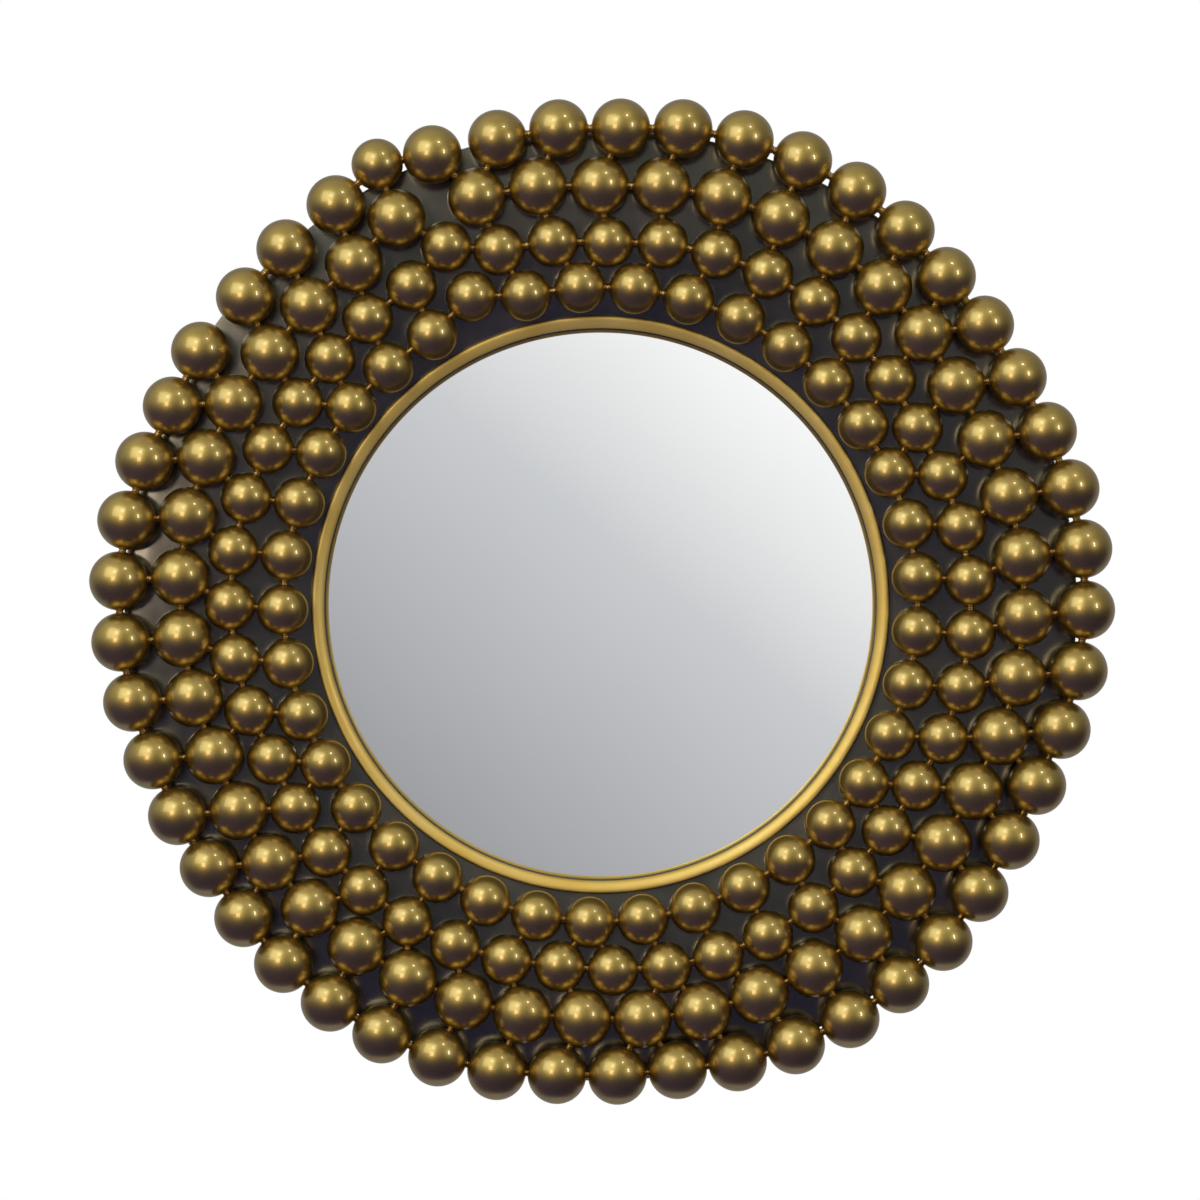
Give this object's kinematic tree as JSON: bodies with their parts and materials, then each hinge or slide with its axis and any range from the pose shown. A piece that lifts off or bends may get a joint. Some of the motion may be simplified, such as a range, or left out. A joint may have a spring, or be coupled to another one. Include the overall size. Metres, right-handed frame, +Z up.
{
  "type": "convex butlers mirror",
  "caption": "Round convex wall mirror in a frame of four rings of welded gold metal balls, hung on two D-rings.",
  "frame": {"origin": "point of the wall plane on the mirror's axis: the rear face of the felt ring lies in the plane y = 0", "axes": "+X to the right seen from the front, +Z up, +Y towards the wall; the mirror faces -Y"},
  "size_m": [0.6946, 0.0655, 0.6814],
  "materials": {
    "ball_lacquer": "antique gold metallic lacquer under gloss clear coat",
    "weld_lacquer": "welds under the same antique gold lacquer",
    "bead_lacquer": "lighter satin gold lacquer",
    "plate_lacquer": "gunmetal semi-gloss lacquer",
    "tray_paint": "black satin paint",
    "mirror_glass": "silvered at the back, polished",
    "tape_felt": "black felt tape",
    "foam": "closed-cell foam",
    "board_fibre": "brown hardboard",
    "zinc_steel": "bright zinc plate",
    "hanger_steel": "nickel plate",
    "wall_felt": "dark grey felt"
  },
  "bodies": {
    "mirror": {"mirror_tray": "tray_paint", "mirror_bead": "bead_lacquer", "ring_plate": "plate_lacquer", "inner_ring_balls": "ball_lacquer", "third_ring_balls": "ball_lacquer", "second_ring_balls": "ball_lacquer", "outer_ring_balls": "ball_lacquer", "outer_closing_ball": "ball_lacquer", "inner_ring_welds": "weld_lacquer", "third_ring_welds": "weld_lacquer", "second_ring_welds": "weld_lacquer", "outer_ring_welds": "weld_lacquer", "inner_step_welds": "weld_lacquer", "middle_step_welds": "weld_lacquer", "outer_step_welds": "weld_lacquer", "convex_glass": "mirror_glass", "glass_edge_tape": "tape_felt", "foam_ring": "foam", "backing_board": "board_fibre", "board_brackets": "zinc_steel", "bracket_screws": "zinc_steel", "left_hanger_strap": "hanger_steel", "right_hanger_strap": "hanger_steel", "hanger_screws": "zinc_steel", "wall_felt": "wall_felt"},
    "left_ring": {"left_d_ring": "hanger_steel"},
    "right_ring": {"right_d_ring": "hanger_steel"}
  },
  "joints": [
    {"name": "left_ring_swing", "type": "hinge", "parent": "mirror", "child": "left_ring", "pos_m": [-0.11, -0.0049, 0.095], "axis": [1, 0, 0], "range_deg": [0, 180]},
    {"name": "right_ring_swing", "type": "hinge", "parent": "mirror", "child": "right_ring", "pos_m": [0.11, -0.0049, 0.095], "axis": [1, 0, 0], "range_deg": [0, 180]}
  ]
}
